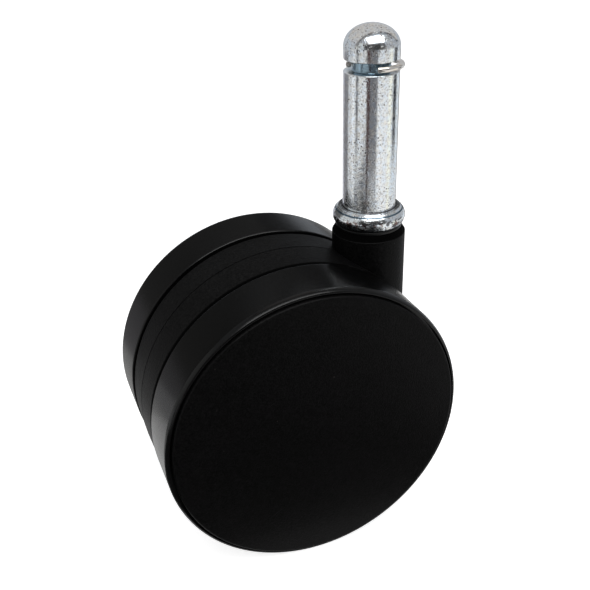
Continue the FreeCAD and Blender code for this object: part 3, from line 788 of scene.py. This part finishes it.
def makeRingBoards():
    for name, spec in boardSpecs.items():
        start, end = spec["bearing"]
        bm = bmesh.new()
        bm.edges.new([bm.verts.new((radius, 0, height)) for radius, height in zip(spec["reach"], spec["height"])])
        rotateVerts(bm, bm.verts, start, "Z")
        spinAll(bm, end - start, boardSteps)
        mirrorOnly(bm, name, spec["colour"])


def makeNearSheets():
    for name, spec in nearSheets.items():
        low, high = Vector(spec["low"]), Vector(spec["high"])
        size, middle = high - low, (low + high) / 2
        bm = bmesh.new()
        bmesh.ops.create_grid(bm, x_segments=1, y_segments=1, size=0.5)
        bmesh.ops.scale(bm, verts=bm.verts, vec=(size.x, size.y, 1))
        bmesh.ops.translate(bm, verts=bm.verts, vec=(middle.x, middle.y, nearSheetHeight))
        mirrorOnly(bm, name, spec["colour"])


# a dome is a sphere cut twice, upright behind the stem and level above the dome's own centre
def makeDomeCards():
    facing = math.radians(domeSpec["bearing"])
    backwards, upwards = Vector((math.cos(facing), math.sin(facing), 0)), Vector((0, 0, 1))
    for name, spec in domeCards.items():
        bm = bmesh.new()
        bmesh.ops.create_uvsphere(bm, u_segments=domeSpec["segments"], v_segments=domeSpec["rings"],
                                  radius=spec["radius"])
        for normal, offset in ((backwards, spec["behind"]), (upwards, spec["above"])):
            bmesh.ops.bisect_plane(bm, geom=bm.verts[:] + bm.edges[:] + bm.faces[:], plane_co=normal * offset,
                                   plane_no=normal, clear_inner=True)
        bmesh.ops.translate(bm, verts=bm.verts, vec=upwards * domeSpec["height"])
        mirrorOnly(bm, name, spec["colour"])


# one soft window above the front, in metres and degrees
lampSpec = {"bearing": -92, "rise": 61, "far": 0.55, "wide": 0.56, "tall": 0.34, "radiance": 3.6,
            "aim": (-0.01, 0, -0.02)}


def makeLamp():
    spec, aim = lampSpec, Vector(lampSpec["aim"])
    light = bpy.data.lights.new("window", "AREA")
    light.shape = "RECTANGLE"
    light.size = spec["wide"]
    light.size_y = spec["tall"]
    light.energy = spec["radiance"] * math.pi * spec["wide"] * spec["tall"]
    lamp = bpy.data.objects.new("window", light)
    scene.collection.objects.link(lamp)
    bearing, rise = math.radians(spec["bearing"]), math.radians(spec["rise"])
    towards = Vector((math.cos(bearing) * math.cos(rise), math.sin(bearing) * math.cos(rise), math.sin(rise)))
    lamp.location = aim + spec["far"] * towards
    lamp.rotation_euler = (aim - lamp.location).to_track_quat("-Z", "Y").to_euler()
    lamp.visible_camera = False


# the camera stands off the stem's axis at a turn about it, and aims across and below it
cameraSpec = {"turn": -26.2319, "distance": 166.7466, "height": 66.8588, "aimAcross": -16.0645,
              "aimHeight": -22.0877, "roll": -1.4666, "lens": 51.7398, "sensor": 36, "clipStart": 10}


def makeCamera():
    spec = cameraSpec
    turn = math.radians(spec["turn"])
    across = Vector((math.cos(turn), math.sin(turn), 0))
    ahead = Vector((-math.sin(turn), math.cos(turn), 0))
    spot = (-ahead * spec["distance"] + Vector((0, 0, spec["height"]))) * mm
    aim = (across * spec["aimAcross"] + Vector((0, 0, spec["aimHeight"]))) * mm
    roll = Quaternion((0, 0, 1), math.radians(spec["roll"]))
    data = bpy.data.cameras.new("camera")
    data.lens = spec["lens"]
    data.sensor_width = spec["sensor"]
    data.clip_start = spec["clipStart"] * mm
    camera = bpy.data.objects.new("camera", data)
    scene.collection.objects.link(camera)
    camera.rotation_mode = "QUATERNION"
    camera.location = spot
    camera.rotation_quaternion = (aim - spot).to_track_quat("-Z", "Y") @ roll
    scene.camera = camera


makeFloor()
makeWorld()
makeRingBoards()
makeNearSheets()
makeDomeCards()
makeLamp()
makeCamera()
scene.view_settings.view_transform = "Standard"
print("floor, lamps and camera ready")
